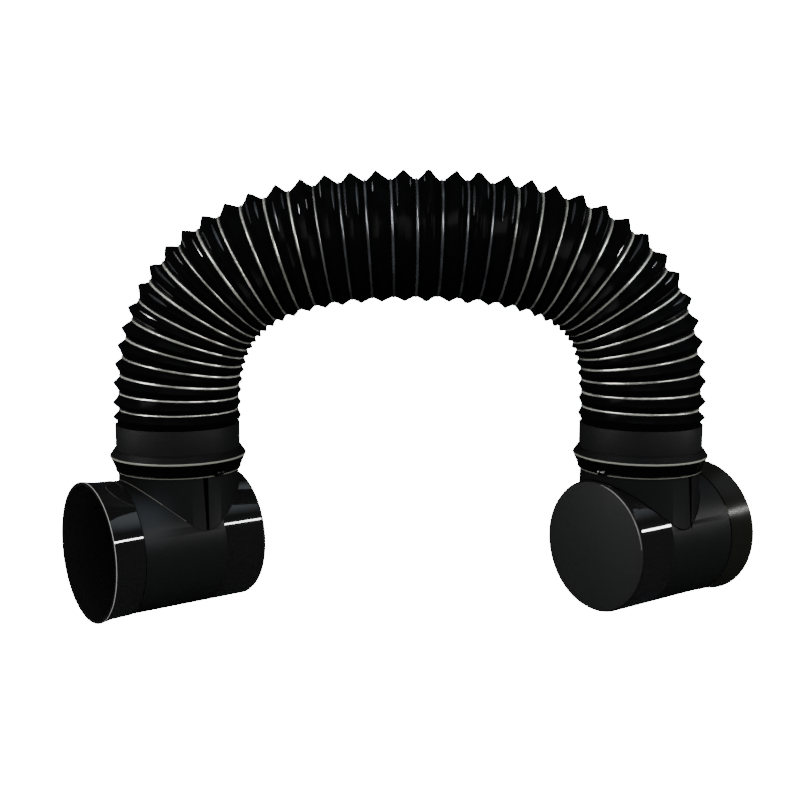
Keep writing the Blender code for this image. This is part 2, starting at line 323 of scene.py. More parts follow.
def ring_plan():
    """(distance along, step beside it, depth below the crest, kind), left to right."""
    plan = []

    def flank(near, far, depth, creased):
        if not creased:
            plan.append((0.5 * (near + far), 0.0, chance.uniform(*FLANK_SAG) * depth, "flank"))
            return
        share = chance.uniform(*CREASE_SHARE)
        at, down = near + share * (far - near), depth * share
        slope = depth / abs(far - near)
        name = "crease" if chance.random() < SHARP_CREASED else "fold"
        half = CREASE_HALF[name]
        for step, kind in ((-1, name + " side"), (0, name), (1, name + " side")):
            beside = step * half
            rise = beside * slope * (1 if far > near else -1)
            plan.append((at, beside, down + rise, kind))

    for pleat in range(PLEAT_COUNT):
        start, end = pleat_station(pleat), pleat_station(pleat + 1)
        shift = chance.uniform(-CREST_SHIFT, CREST_SHIFT) * (end - start)
        crest = pleat_station(pleat + 0.5) + shift
        up = (route_point(start)[1] / ARCH_RISE) ** 1.5
        depth = LEG_PLEAT_DEPTH + up * (CROWN_PLEAT_DEPTH - LEG_PLEAT_DEPTH)
        depth *= chance.uniform(*DEPTH_SPREAD)
        if pleat > 0:
            rib = RIB_RADIUS * (1 + RIB_SWELL * up) * chance.uniform(*RIB_SPREAD)
            for turn in RIB_TURNS:
                plan.append((start, rib * math.sin(turn), depth - rib * math.cos(turn), "rib"))
        before, after = chance.random() < CREASED, chance.random() < CREASED
        edge_in, edge_out = start + RIB_MARGIN, end - RIB_MARGIN
        creasable = PLAIN_PLEATS <= pleat < PLEAT_COUNT - PLAIN_PLEATS
        flank(crest, edge_in, depth, before and creasable)
        if pleat in ROUND_CRESTS:
            for step in (-ROUND_HALF, 0.0, ROUND_HALF):
                plan.append((crest, step, ROUND_DROP if step else 0.0, "crest"))
        else:
            plan.append((crest, 0.0, 0.0, "crest"))
        flank(crest, edge_out, depth, after and creasable)
    return plan


plan = ring_plan()
print(len(plan), "rings in", PLEAT_COUNT, "pleats")

# %% [markdown]
# Now the tube itself. The outer skin grows from the left foot to the right one, and the
# inner skin grows back again with fewer rings, since it is hardly seen.

# %% Grow the tube ring by ring
def grow_hose():
    """Extrudes the outer skin from left to right and the inner one back again."""
    half = LEG_SPACING / 2
    base_z = CUFF_TOP_Z
    foot = Vector((-half, 0.0, base_z - TAIL_LENGTH))
    bpy.ops.object.select_all(action="DESELECT")
    bpy.ops.mesh.primitive_circle_add(vertices=HOSE_SIDES, radius=TAIL_RADIUS, location=foot)
    tube = bpy.context.object
    tube.name = tube.data.name = "hose_film"
    take(tube, "EDIT")
    bpy.ops.mesh.select_all(action="SELECT")
    state = {"centre": foot, "angle": math.pi / 2, "radius": TAIL_RADIUS}
    kinds = ["tail"]

    def next_ring(centre, angle, radius, kind):
        bpy.ops.mesh.extrude_region_move(
            TRANSFORM_OT_translate={"value": centre - state["centre"]})
        turn = angle - state["angle"]
        if abs(turn) > 1e-9:
            bpy.ops.transform.rotate(
                value=turn, orient_axis="Y", orient_type="GLOBAL", center_override=centre)
        scale = radius / state["radius"]
        if abs(scale - 1) > 1e-9:
            bpy.ops.transform.resize(value=(scale,) * 3, center_override=centre)
        state.update(centre=centre, angle=angle, radius=radius)
        kinds.append(kind)

    def planned_ring(s, beside, depth, kind):
        (x, z), angle = route_frame(s)
        outward = Vector((-math.sin(angle), 0.0, math.cos(angle)))
        onward = Vector((math.cos(angle), 0.0, math.sin(angle)))
        crest = CREST_RADIUS + CROWN_SWELL * (z / ARCH_RISE) ** 2
        lean = PLEAT_LEAN * depth
        centre = Vector((x, 0.0, base_z + z)) + onward * beside - outward * lean
        next_ring(centre, angle, crest - depth, kind)

    left_top, right_top = Vector((-half, 0.0, base_z + GAP)), Vector((half, 0.0, base_z + GAP))
    right_foot = Vector((half, 0.0, base_z - TAIL_LENGTH))
    next_ring(left_top, math.pi / 2, TAIL_RADIUS, "tail")
    for ring in plan:
        planned_ring(*ring)
    next_ring(right_top, -math.pi / 2, TAIL_RADIUS, "tail")
    next_ring(right_foot, -math.pi / 2, TAIL_RADIUS, "tail")
    next_ring(right_foot, -math.pi / 2, TAIL_RADIUS - FILM_WALL, "inside")
    next_ring(right_top, -math.pi / 2, TAIL_RADIUS - FILM_WALL, "inside")
    for s, beside, depth, kind in reversed(plan):
        if kind in ("crest", "rib") and abs(beside) < 1e-9:
            wire = RIB_RADIUS if kind == "rib" else 0.0
            planned_ring(s, 0.0, depth + FILM_WALL + wire, "inside")
    next_ring(left_top, math.pi / 2, TAIL_RADIUS - FILM_WALL, "inside")
    next_ring(foot, math.pi / 2, TAIL_RADIUS - FILM_WALL, "inside")
    bpy.ops.object.mode_set(mode="OBJECT")
    return tube, kinds


hose, ring_kinds = grow_hose()
print(len(ring_kinds), "rings,", len(hose.data.vertices) / HOSE_SIDES, "by count of points")

# %% [markdown]
# A stretched film is never quite even. On the camera's side, towards the outside of the
# bend, it has short creases, wide in the middle and pointed. A crease could be sculpted,
# but here the three rings of a creased flank are pinched together at both ends, and the
# middle one is raised. The plain flanks and the crests get a slight random swell.

# %% Crease and crumple the flanks
CREASE_RISE = 0.0006
CREASE_LONG = {"crease": (4, 9), "fold": (8, 14)}
CREASE_SIDES = (28, 44)
FLANK_CRUMPLE = 0.00014
CREST_CRUMPLE = 0.3 * FLANK_CRUMPLE
CRUMPLE_SPAN = 2.2
creases = {}
for ring, kind in enumerate(ring_kinds):
    points = [hose.data.vertices[ring * HOSE_SIDES + i] for i in range(HOSE_SIDES)]
    if kind in ("crease", "fold"):
        long = chance.randint(*CREASE_LONG[kind])
        first = chance.randint(CREASE_SIDES[0], CREASE_SIDES[1] - long)
        creases[ring] = range(first, first + long)
        centre = sum((p.co for p in points), Vector()) / HOSE_SIDES
        for i in creases[ring]:
            swell = math.sin(math.pi * (i - first + 0.5) / long)
            for beside in (ring - 1, ring + 1):
                side = hose.data.vertices[beside * HOSE_SIDES + i]
                side.co = side.co.lerp(points[i].co, 1 - swell)
            points[i].co += (points[i].co - centre).normalized() * CREASE_RISE * swell
    if kind not in ("flank", "crest"):
        continue
    centre = sum((p.co for p in points), Vector()) / HOSE_SIDES
    wave = [chance.uniform(-1.0, 1.0) for _ in range(HOSE_SIDES)]
    size = FLANK_CRUMPLE if kind == "flank" else CREST_CRUMPLE
    for i, point in enumerate(points):
        near = [wave[(i + step) % HOSE_SIDES] for step in (-2, -1, 0, 1, 2)]
        push = sum(near) / CRUMPLE_SPAN
        point.co += (point.co - centre).normalized() * size * push
print(len(creases), "creases")

# %% [markdown]
# The last ring is bridged to the first, which closes the wall. The round in each valley
# and the creases then get slots of their own, which shine more than the flanks as painted
# highlights and glints.

# %% Close the wall and give out the slots
FILM_SLOT, RIB_SLOT, CREASE_SLOT, FOLD_SLOT = range(4)
take(hose, "EDIT")
bpy.ops.mesh.select_all(action="DESELECT")
bpy.ops.mesh.select_mode(type="EDGE")
bpy.ops.mesh.select_non_manifold()
bpy.ops.mesh.bridge_edge_loops()
bpy.ops.mesh.select_mode(type="VERT")
bpy.ops.mesh.select_all(action="SELECT")
bpy.ops.mesh.normals_make_consistent(inside=False)
settle(hose)
for _ in (FILM_SLOT, RIB_SLOT, CREASE_SLOT, FOLD_SLOT):
    hose.data.materials.append(None)


def hose_slot(face):
    """The slot of a face, from the kinds of the rings that it lies between."""
    corners = [divmod(vertex, HOSE_SIDES) for vertex in face.vertices]
    kinds = {ring_kinds[ring].split()[0] for ring, _ in corners}
    if kinds == {"rib"}:
        return RIB_SLOT
    for ring, _ in corners:
        if ring in creases and kinds <= {"crease", "fold"} and \
                all(place in creases[ring] for _, place in corners):
            return CREASE_SLOT if ring_kinds[ring] == "crease" else FOLD_SLOT
    return FILM_SLOT


slots = [hose_slot(face) for face in hose.data.polygons]
hose.data.polygons.foreach_set("material_index", slots)
smooth(hose, math.radians(43))
stand_in(hose, "hose")
print(slots.count(RIB_SLOT), "faces in the valley rounds")

# %% [markdown]
# ## Cuffs
# On the real thing a cuff is a plain moulded sleeve round the hose's tail.
# It could be a cylinder with a thickness, but turning its wall's section gives both
# bores and edges at once. The second cuff is a copy of the first.

# %% Cuffs
def copied(piece, name):
    """A copy with its own mesh."""
    take(piece)
    bpy.ops.object.duplicate(linked=False)
    copy = bpy.context.object
    copy.name = copy.data.name = name
    return copy


def put(piece, place, turn=0.0):
    """Turns the piece about Z, moves it, and settles its place into its mesh."""
    piece.rotation_euler = (0.0, 0.0, turn)
    piece.location = place
    settle(piece)
    return piece


CUFF_EDGE = 0.0005
cuff_left = spun("cuff_sleeve_left", [
    (CUFF_BORE_RADIUS, 0.0),
    (CUFF_RADIUS, 0.0),
    (CUFF_RADIUS, CUFF_LENGTH),
    (CUFF_BORE_RADIUS, CUFF_LENGTH),
], closed=True)
soften_edges(cuff_left, CUFF_EDGE)
smooth(cuff_left)
cuff_right = copied(cuff_left, "cuff_sleeve_right")
put(cuff_left, (-LEG_SPACING / 2, 0.0, CUFF_BOTTOM_Z))
put(cuff_right, (LEG_SPACING / 2, 0.0, CUFF_BOTTOM_Z))
stand_in(cuff_left, "cuff_left")
stand_in(cuff_right, "cuff_right")

# %% [markdown]
# ## Clamp rings
# The ring is a rolled V with a small lip below. Its lower edge is open at one place,
# where a short bolt draws the two ends together. A section swept along a circle would
# do as well, but here it is turned, and the opening is then cut out by a block.

# %% Clamp rings
RING_CREST_RADIUS = 0.0570
RING_CREST_ROUND = 0.0003
RING_CREST_HALF = 0.0004
RING_TOP_WALL = 0.0012
RING_TOP_RISE = 0.0056
RING_LOW_DROP = 0.0125
RING_LIP_WALL = 0.0016
RING_LIP_HEIGHT = 0.0016
RING_LIP_ROUND = 0.0004
NOTCH_WIDTH = 0.0080
NOTCH_HEIGHT = 0.0058
NOTCH_TURN = math.radians(43.5)
LOW_BORE = BRANCH_RADIUS + GAP


def clamp_ring(name):
    lip = LOW_BORE + RING_LIP_WALL
    top_bore = CUFF_RADIUS + GAP
    ring = spun(name, [
        (top_bore, RING_TOP_RISE),
        (top_bore, -RING_CREST_RISE - GAP),
        (LOW_BORE, -RING_CREST_RISE - GAP),
        (LOW_BORE, -RING_LOW_DROP),
        (lip, -RING_LOW_DROP),
        (lip + RING_LIP_ROUND, -RING_LOW_DROP + RING_LIP_HEIGHT / 2),
        (lip, -RING_LOW_DROP + RING_LIP_HEIGHT),
        (RING_CREST_RADIUS - RING_CREST_ROUND, -2 * RING_CREST_HALF),
        (RING_CREST_RADIUS, -RING_CREST_HALF),
        (RING_CREST_RADIUS, RING_CREST_HALF),
        (RING_CREST_RADIUS - RING_CREST_ROUND, 2 * RING_CREST_HALF),
        (top_bore + RING_TOP_WALL, RING_TOP_RISE),
    ], closed=True, steps=FINE_ROUND)
    bpy.ops.object.select_all(action="DESELECT")
    middle = (LOW_BORE + RING_CREST_RADIUS) / 2
    bpy.ops.mesh.primitive_cube_add(size=1.0, location=(middle, 0.0, -RING_LOW_DROP))
    block = bpy.context.object
    block.scale = (2 * (RING_CREST_RADIUS - LOW_BORE), NOTCH_WIDTH, 2 * NOTCH_HEIGHT)
    settle(block)
    notch = ring.modifiers.new("notch", "BOOLEAN")
    notch.object = block
    notch.solver = "EXACT"
    apply_modifiers(ring)
    bpy.data.objects.remove(block, do_unlink=True)
    smooth(ring, math.radians(25))
    return ring


ring_left = clamp_ring("clamp_band_left")
ring_right = copied(ring_left, "clamp_band_right")
put(ring_left, (-LEG_SPACING / 2, 0.0, RING_CREST_Z), -NOTCH_TURN)
put(ring_right, (LEG_SPACING / 2, 0.0, RING_CREST_Z), NOTCH_TURN - math.pi)
stand_in(ring_left, "clamp_ring_left")
stand_in(ring_right, "clamp_ring_right")

# %% [markdown]
# The bolt is a short shank with a head at each end, across the opening. Its real shape
# can't be seen, so it is turned from the simplest section that fills the opening.

# %% Clamp bolts
BOLT_HEAD_RADIUS = 0.0024
BOLT_HEAD_LENGTH = 0.0022
BOLT_EDGE = 0.0004
BOLT_SHANK_RADIUS = 0.0015
BOLT_OUTSET = 0.0032


def clamp_bolt(name):
    end = NOTCH_WIDTH / 2 - GAP
    neck = end - BOLT_HEAD_LENGTH
    head, shank = BOLT_HEAD_RADIUS, BOLT_SHANK_RADIUS
    bolt = spun(name, [
        (0.0, -end), (head - BOLT_EDGE, -end), (head, -end + BOLT_EDGE), (head, -neck),
        (shank, -neck), (shank, neck),
        (head, neck), (head, end - BOLT_EDGE), (head - BOLT_EDGE, end), (0.0, end),
    ], steps=32)
    take(bolt)
    bolt.rotation_euler = (math.radians(90), 0.0, 0.0)
    settle(bolt)
    bolt.location = (LOW_BORE + BOLT_OUTSET, 0.0, 0.0)
    settle(bolt)
    smooth(bolt)
    return bolt


BOLT_Z = RING_CREST_Z - RING_LOW_DROP + BOLT_HEAD_RADIUS + GAP
bolt_left = clamp_bolt("clamp_screw_left")
bolt_right = copied(bolt_left, "clamp_screw_right")
put(bolt_left, (-LEG_SPACING / 2, 0.0, BOLT_Z), -NOTCH_TURN)
put(bolt_right, (LEG_SPACING / 2, 0.0, BOLT_Z), NOTCH_TURN - math.pi)
stand_in(bolt_left, "clamp_bolt_left")
stand_in(bolt_right, "clamp_bolt_right")

# %% [markdown]
# ## Tees
# On the real thing a tee is one moulding: a run with a flared socket at one end, and a
# branch whose foot is drawn out across the run. Two tubes could be bridged, but here the
# outside shapes are joined first and both bores are taken out after, so the wall is even
# and the branch opens into the run. One is made, with its run along X, and copied.

# %% Sizes of the tees
RING_LOW_Z = RING_CREST_Z - RING_LOW_DROP
BRANCH_FOOT = 0.0040
BRANCH_NECK = RUN_RADIUS + 0.0052
SADDLE_EDGE = -0.0153
RUN_EDGE = 0.0008
SEAM_DEPTH = 0.0007
SEAM_START, SEAM_FLOOR_START, SEAM_FLOOR_END = 0.0010, 0.0009, 0.0001
SOCKET_STEP = 0.0005
SOCKET_BORE_STEP = 0.0008
FLARE_SHARE, FLARE_RISE = 0.6, 0.0010
MOUTH_EDGE, MOUTH_EDGE_LENGTH = 0.0003, 0.0005
OVERCUT, OVERCUT_FLARE = 0.0020, 0.0004
LEFT_FOOT, LEFT_TURN = (-LEG_SPACING / 2, 0.0, MOUTH_RADIUS), math.pi + TEE_YAW
RIGHT_FOOT, RIGHT_TURN = (LEG_SPACING / 2, 0.0, MOUTH_RADIUS), TEE_YAW
print("run", 2 * RUN_RADIUS, "branch", 2 * BRANCH_RADIUS, "wall", TEE_WALL)


# %% Join, cut and clean
def combine(target, tool, operation):
    """Joins the tool to the target or cuts it out, and removes the tool."""
    step = target.modifiers.new(operation.lower(), "BOOLEAN")
    step.object = tool
    step.operation = operation
    step.solver = "EXACT"
    apply_modifiers(target)
    bpy.data.objects.remove(tool, do_unlink=True)


def clean(piece):
    """Merges the doubled points and the slivers that the cuts leave behind."""
    take(piece, "EDIT")
    bpy.ops.mesh.select_all(action="SELECT")
    bpy.ops.mesh.remove_doubles(threshold=0.00001)
    bpy.ops.mesh.dissolve_degenerate(threshold=0.00001)
    bpy.ops.mesh.normals_make_consistent(inside=False)
    bpy.ops.object.mode_set(mode="OBJECT")


def select_below(piece, height):
    """Selects the points below a height and stays in edit mode."""
    take(piece, "EDIT")
    bpy.ops.mesh.select_all(action="DESELECT")
    bpy.ops.object.mode_set(mode="OBJECT")
    for vertex in piece.data.vertices:
        vertex.select = vertex.co.z < height
    bpy.ops.object.mode_set(mode="EDIT")

# %% [markdown]
# The branch is a cylinder with one more ring of points at its neck, so that only its foot
# widens. A shallow groove runs up its side and narrows towards the foot. It could be a
# dark stripe in the material, but a wedge cut out of the wall also catches the light.

# %% Branch and groove
GROOVE_TOP, GROOVE_FOOT = 0.0046, 0.0020
GROOVE_DEPTH = 0.0010
GROOVE_LOW = 0.0180
GROOVE_UNDER_RING = 0.0004
GROOVE_BLOCK = 0.0100
GROOVE_TURNS = (math.radians(-0.5), math.radians(180 + 9))


def branch_core(radius, height, foot):
    """A round column whose foot is drawn out across the run."""
    bpy.ops.object.select_all(action="DESELECT")
    bpy.ops.mesh.primitive_cylinder_add(
        vertices=ROUND, radius=radius, depth=height, location=(0.0, 0.0, height / 2))
    core = bpy.context.object
    settle(core)
    take(core, "EDIT")
    bpy.ops.mesh.select_all(action="SELECT")
    bpy.ops.mesh.bisect(plane_co=(0.0, 0.0, BRANCH_NECK), plane_no=(0.0, 0.0, 1.0))
    select_below(core, BRANCH_NECK / 2)
    bpy.ops.transform.resize(value=(1.0, 1.0 + foot / radius, 1.0), center_override=(0, 0, 0))
    bpy.ops.object.mode_set(mode="OBJECT")
    return core


def groove_block(turn):
    """A wedge that cuts a shallow upright groove into the branch's side."""
    low, high = GROOVE_LOW, RING_LOW_Z - MOUTH_RADIUS + GROOVE_UNDER_RING
    bpy.ops.object.select_all(action="DESELECT")
    bpy.ops.mesh.primitive_cube_add(size=1.0, location=(0.0, 0.0, 0.0))
    block = bpy.context.object
    block.scale = (GROOVE_TOP, GROOVE_BLOCK, high - low)
    outset = BRANCH_RADIUS - GROOVE_DEPTH + GROOVE_BLOCK / 2
    block.location = (0.0, outset, (low + high) / 2)
    settle(block)
    select_below(block, (low + high) / 2)
    narrower = GROOVE_FOOT / GROOVE_TOP
    bpy.ops.transform.resize(value=(narrower, 1.0, 1.0), center_override=(0, 0, 0))
    bpy.ops.transform.translate(value=(0.0, BRANCH_FOOT * (1 - low / BRANCH_NECK), 0.0))
    bpy.ops.object.mode_set(mode="OBJECT")
    block.rotation_euler = (0.0, 0.0, turn)
    settle(block)
    return block


print("groove", GROOVE_TOP, "wide at its top and", GROOVE_FOOT, "at its foot")


# %% One tee, run along X and branch up
def tee_moulding(name):
    """The run with its socket and the branch, both bored through."""
    start, mouth = RUN_OPEN_LENGTH, RUN_OPEN_LENGTH + SOCKET_LENGTH
    turn_out = start + FLARE_SHARE * SOCKET_LENGTH
    tee = spun(name, [
        (0.0, -RUN_CLOSED_LENGTH),
        (RUN_RADIUS - RUN_EDGE, -RUN_CLOSED_LENGTH),
        (RUN_RADIUS, -RUN_CLOSED_LENGTH + RUN_EDGE),
        (RUN_RADIUS, SADDLE_EDGE),
        (RUN_RADIUS, start - SEAM_START),
        (RUN_RADIUS - SEAM_DEPTH, start - SEAM_FLOOR_START),
        (RUN_RADIUS - SEAM_DEPTH, start - SEAM_FLOOR_END),
        (RUN_RADIUS + SOCKET_STEP, start),
        (RUN_RADIUS + FLARE_RISE, turn_out),
        (MOUTH_RADIUS, mouth - MOUTH_EDGE_LENGTH),
        (MOUTH_RADIUS - MOUTH_EDGE, mouth),
        (0.0, mouth),
    ], axis="X", steps=FINE_ROUND)
    combine(tee, branch_core(BRANCH_RADIUS, BRANCH_HEIGHT, BRANCH_FOOT), "UNION")
    bore = RUN_RADIUS - TEE_WALL
    run_bore = spun("run_bore", [
        (0.0, -RUN_CLOSED_LENGTH - OVERCUT),
        (bore, -RUN_CLOSED_LENGTH - OVERCUT),
        (bore, start),
        (bore + SOCKET_BORE_STEP, start),
        (RUN_RADIUS + FLARE_RISE - TEE_WALL, turn_out),
        (MOUTH_RADIUS - TEE_WALL, mouth),
        (MOUTH_RADIUS - TEE_WALL + OVERCUT_FLARE, mouth + OVERCUT),
        (0.0, mouth + OVERCUT),
    ], axis="X", steps=FINE_ROUND)
    combine(tee, run_bore, "DIFFERENCE")
    inner = branch_core(BRANCH_RADIUS - TEE_WALL, BRANCH_HEIGHT + OVERCUT, 0.0)
    combine(tee, inner, "DIFFERENCE")
    for side_turn in GROOVE_TURNS:
        combine(tee, groove_block(side_turn), "DIFFERENCE")
    clean(tee)
    smooth(tee, math.radians(25))
    return tee


tee_left = tee_moulding("tee_body_left")
tee_right = copied(tee_left, "tee_body_right")
put(tee_left, LEFT_FOOT, LEFT_TURN)
put(tee_right, RIGHT_FOOT, RIGHT_TURN)

# %% [markdown]
# A thin raised line runs round the foot of the branch. It could be bevelled out of the
# tee's edge, but that edge is made by a cut and is uneven, so the line is a round curve
# laid along the place where the two shapes meet, and then made a mesh.

# %% Raised lines at the branches' feet
WELD_STEPS = 120
WELD_RADIUS = 0.0005
WELD_FIRST_HEIGHT, WELD_TRIES = 0.03, 20


def weld_line(name, place, turn):
    """Each point settles, in a few tries, on both the branch and the run."""
    points = []
    for i in range(WELD_STEPS):
        around = math.tau * i / WELD_STEPS
        x, y = BRANCH_RADIUS * math.cos(around), BRANCH_RADIUS * math.sin(around)
        z = WELD_FIRST_HEIGHT
        for _ in range(WELD_TRIES):
            widened = y * (1 + BRANCH_FOOT / BRANCH_RADIUS * max(0.0, 1 - z / BRANCH_NECK))
            z = math.sqrt(max(0.0, RUN_RADIUS ** 2 - widened ** 2))
        points.append((x, widened, z))
    curve = bpy.data.curves.new(name, "CURVE")
    curve.dimensions = "3D"
    line = curve.splines.new("POLY")
    line.points.add(len(points) - 1)
    for point, co in zip(line.points, points):
        point.co = (*co, 1.0)
    line.use_cyclic_u = True
    curve.bevel_depth = WELD_RADIUS
    curve.bevel_resolution = 2
    weld = bpy.data.objects.new(name, curve)
    bpy.context.scene.collection.objects.link(weld)
    take(weld)
    bpy.ops.object.convert(target="MESH")
    weld = bpy.context.object
    put(weld, place, turn)
    smooth(weld, math.radians(60))
    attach(weld, "root")
    report(weld)
    return weld


weld_left = weld_line("branch_weld_left", LEFT_FOOT, LEFT_TURN)
weld_right = weld_line("branch_weld_right", RIGHT_FOOT, RIGHT_TURN)
stand_in(tee_left, "tee_left")
stand_in(tee_right, "tee_right")

# %% [markdown]
# ## End caps
# The closed end is a flat disc with a hollow plug behind it that holds it in the run. A
# cylinder would do for the disc, but a turned section gives its edge and plug as well.

# %% End caps
CAP_THICKNESS = 0.0018
CAP_INSET = 0.0014
CAP_EDGE, CAP_EDGE_SAG = 0.0006, 0.00018
PLUG_LENGTH, PLUG_WALL = 0.0100, 0.0022


def end_cap(name):
    back = -RUN_CLOSED_LENGTH - GAP
    face = back - CAP_THICKNESS
    rim = RUN_RADIUS - CAP_INSET
    plug = RUN_RADIUS - TEE_WALL - GAP
    cap = spun(name, [
        (0.0, face), (rim - CAP_EDGE, face), (rim - CAP_EDGE_SAG, face + CAP_EDGE_SAG),
        (rim, face + CAP_EDGE), (rim, back),
        (plug, back), (plug, back + PLUG_LENGTH), (plug - PLUG_WALL, back + PLUG_LENGTH),
        (plug - PLUG_WALL, back), (0.0, back),
    ], axis="X", steps=FINE_ROUND)
    smooth(cap)
    return cap


cap_left = end_cap("end_disc_left")
cap_right = copied(cap_left, "end_disc_right")
put(cap_left, LEFT_FOOT, LEFT_TURN)
put(cap_right, RIGHT_FOOT, RIGHT_TURN)
stand_in(cap_left, "end_cap_left")
stand_in(cap_right, "end_cap_right")

# %% [markdown]
# ## Finishes
# All of it is black plastic, and the pieces differ in how they take the light. One
# roughness for each could do, but moulded plastic has a fine grain and is not equally
# dull all over. That grain is a node group, built once, which every finish uses with its
# own values. Most have a low specular level, to stay as dark as in the photograph.

# %% Grain of moulded plastic
def remap(tree, value, start, end, low=0.0, high=1.0, soft=True):
    """A node that turns start to end into low to high, softly or in a straight line."""
    node = tree.nodes.new("ShaderNodeMapRange")
    if soft:
        node.interpolation_type = "SMOOTHSTEP"
    spans = {"From Min": start, "From Max": end, "To Min": low, "To Max": high}
    for name, number in spans.items():
        node.inputs[name].default_value = number
    tree.links.new(value, node.inputs["Value"])
    return node


def noise(tree, where, scale, detail):
    node = tree.nodes.new("ShaderNodeTexNoise")
    node.inputs["Scale"].default_value = scale
    node.inputs["Detail"].default_value = detail
    tree.links.new(where, node.inputs["Vector"])
    return node


def grain_group():
    """Fine grain of moulded plastic: a small roughness change and a small height."""
    group = bpy.data.node_groups.new("plastic_grain", "ShaderNodeTree")
    face = group.interface
    face.new_socket("Vector", in_out="INPUT", socket_type="NodeSocketVector")
    for name, number in (("Scale", 900), ("Rough low", 0.3), ("Rough high", 0.4)):
        socket = face.new_socket(name, in_out="INPUT", socket_type="NodeSocketFloat")
        socket.default_value = number
    for name in ("Roughness", "Height"):
        face.new_socket(name, in_out="OUTPUT", socket_type="NodeSocketFloat")
    ins = group.nodes.new("NodeGroupInput")
    outs = group.nodes.new("NodeGroupOutput")
    fine = noise(group, ins.outputs["Vector"], 900, 3.0)
    broad = noise(group, ins.outputs["Vector"], 24.0, 2.0)
    spread = remap(group, broad.outputs["Fac"], 0.35, 0.65, soft=False)
    group.links.new(ins.outputs["Scale"], fine.inputs["Scale"])
    group.links.new(ins.outputs["Rough low"], spread.inputs["To Min"])
    group.links.new(ins.outputs["Rough high"], spread.inputs["To Max"])
    group.links.new(spread.outputs["Result"], outs.inputs["Roughness"])
    group.links.new(fine.outputs["Fac"], outs.inputs["Height"])
    return group


plastic_grain = grain_group()
print(plastic_grain.name, len(plastic_grain.nodes), "nodes")


# %% A finish
def plastic(name, colour, rough, grain, level=0.5, metal=0.0):
    """Roughness runs between two values; grain is its scale and its height in metres."""
    material = bpy.data.materials.new(name)
    material.use_nodes = True
    nodes, links = material.node_tree.nodes, material.node_tree.links
    shader = nodes["Principled BSDF"]
    shader.inputs["Base Color"].default_value = (*colour, 1.0)
    shader.inputs["Specular IOR Level"].default_value = level
    shader.inputs["Metallic"].default_value = metal
    place = nodes.new("ShaderNodeTexCoord")
    group = nodes.new("ShaderNodeGroup")
    group.node_tree = plastic_grain
    group.inputs["Scale"].default_value, bump = grain
    group.inputs["Rough low"].default_value, group.inputs["Rough high"].default_value = rough
    relief = nodes.new("ShaderNodeBump")
    relief.inputs["Strength"].default_value = 1.0
    relief.inputs["Distance"].default_value = bump
    links.new(place.outputs["Object"], group.inputs["Vector"])
    links.new(group.outputs["Roughness"], shader.inputs["Roughness"])
    links.new(group.outputs["Height"], relief.inputs["Height"])
    links.new(relief.outputs["Normal"], shader.inputs["Normal"])
    return material


def mixed_colour(tree, share, first, second):
    """Goes from the first colour to the second as the share goes from 0 to 1."""
    mix = tree.nodes.new("ShaderNodeMix")
    mix.data_type = "RGBA"
    colours = [socket for socket in mix.inputs if socket.type == "RGBA"]
    colours[0].default_value = (*first, 1.0)
    colours[1].default_value = (*second, 1.0)
    tree.links.new(share.outputs["Result"], mix.inputs[0])
    return [socket for socket in mix.outputs if socket.type == "RGBA"][0]

# %% [markdown]
# The film is a thin gloss black. The valley lines are the film drawn tight over the wire,
# and they look nearly like metal on the legs. Their pale colour is a painted highlight,
# which the lamps brighten further. Over the crown they are duller: there the colour fades
# to a darker one, which is painted shade. Nowhere are they even. Two materials could share
# the lines, but a step would show where they meet, so one colour fades into the other by
# the distance across, and a noise darkens it.

# %% Film, valley lines and creases
FILM_GRAIN = (300, 0.00001)
CROWN_SHADE_SPAN = (0.060, 0.115)
UNEVEN_SCALE, UNEVEN_NOISE, UNEVEN_STRENGTH = 45.0, (0.38, 0.55), (0.50, 1.0)
film = plastic("black_film", (0.0012, 0.0012, 0.0013), (0.14, 0.22), FILM_GRAIN, level=0.006)
rib = plastic("valley_rib_painted_highlight", (0.68, 0.69, 0.62), (0.20, 0.28), FILM_GRAIN, metal=0.75)
# On the creases and folds, the pale and grey metal colours are painted glints and sheen.
crease = plastic("crease_painted_glint", (0.50, 0.50, 0.50), (0.16, 0.24), FILM_GRAIN, metal=0.9)
fold = plastic("fold_painted_sheen", (0.035, 0.037, 0.040), (0.24, 0.32), FILM_GRAIN, metal=0.7)


def painted_shade_over_crown(material, crown):
    """The material's colour holds on the legs and fades to the crown's darker one, which is
    painted shade; both are uneven.
    """
    tree = material.node_tree
    base = tree.nodes["Principled BSDF"].inputs["Base Color"]
    where = tree.nodes["Texture Coordinate"].outputs["Object"]
    split = tree.nodes.new("ShaderNodeSeparateXYZ")
    tree.links.new(where, split.inputs[0])
    across = tree.nodes.new("ShaderNodeMath")
    across.operation = "ABSOLUTE"
    tree.links.new(split.outputs["X"], across.inputs[0])
    share = remap(tree, across.outputs[0], *CROWN_SHADE_SPAN)
    colour = mixed_colour(tree, share, crown, base.default_value[:3])
    patches = noise(tree, where, UNEVEN_SCALE, 1.0)
    strength = remap(tree, patches.outputs["Fac"], *UNEVEN_NOISE, *UNEVEN_STRENGTH, soft=False)
    scaled = tree.nodes.new("ShaderNodeVectorMath")
    scaled.operation = "SCALE"
    tree.links.new(colour, scaled.inputs[0])
    tree.links.new(strength.outputs["Result"], scaled.inputs["Scale"])
    tree.links.new(scaled.outputs["Vector"], base)


# The crown colour darkens the lines' painted highlight: painted shade.
painted_shade_over_crown(rib, (0.12, 0.125, 0.135))
for slot, material in ((FILM_SLOT, film), (RIB_SLOT, rib),
                       (CREASE_SLOT, crease), (FOLD_SLOT, fold)):
    hose.data.materials[slot] = material
print("hose:", [material.name for material in hose.data.materials])
